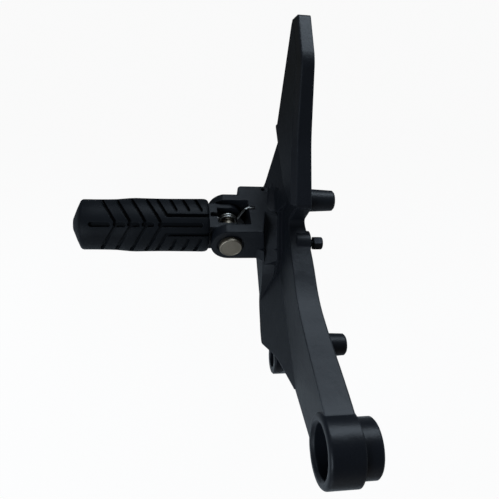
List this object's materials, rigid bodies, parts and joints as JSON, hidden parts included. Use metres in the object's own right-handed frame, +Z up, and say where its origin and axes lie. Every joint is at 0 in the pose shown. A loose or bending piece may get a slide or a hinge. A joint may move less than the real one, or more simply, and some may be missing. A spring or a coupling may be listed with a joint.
{
  "type": "motorcycle footrest bracket",
  "caption": "Rider's footrest bracket with mounting ring, heel guard and a sprung folding footpeg in ribbed rubber",
  "frame": {"origin": "centre of the main bore, at the inner end of its spigot", "axes": "+X inboard along the main bore, +Y to the rear, +Z up; the footpeg points outboard along -X"},
  "size_m": [0.1645, 0.2618, 0.1594],
  "materials": {
    "black_casting": "satin",
    "black_peg": "satin",
    "peg_rubber": "matte",
    "pin_steel": "satin",
    "spring_steel": "satin",
    "dark_bolt": "satin"
  },
  "bodies": {
    "bracket": {"bracket_casting": "black_casting", "pivot_pin": "pin_steel", "pin_washer": "pin_steel", "pin_circlip": "spring_steel", "return_spring": "spring_steel", "stop_bolt": "dark_bolt"},
    "footpeg": {"peg_core": "black_peg", "rubber_sleeve": "peg_rubber"}
  },
  "joints": [
    {"name": "peg_fold", "type": "hinge", "parent": "bracket", "child": "footpeg", "pos_m": [-0.0627, 0.1154, -0.107], "axis": [0, 0.7071, -0.7071], "range_deg": [0, 85], "stiffness_Nm_per_rad": 0.05, "springref_deg": -40.11, "deforming": ["return_spring"]}
  ]
}
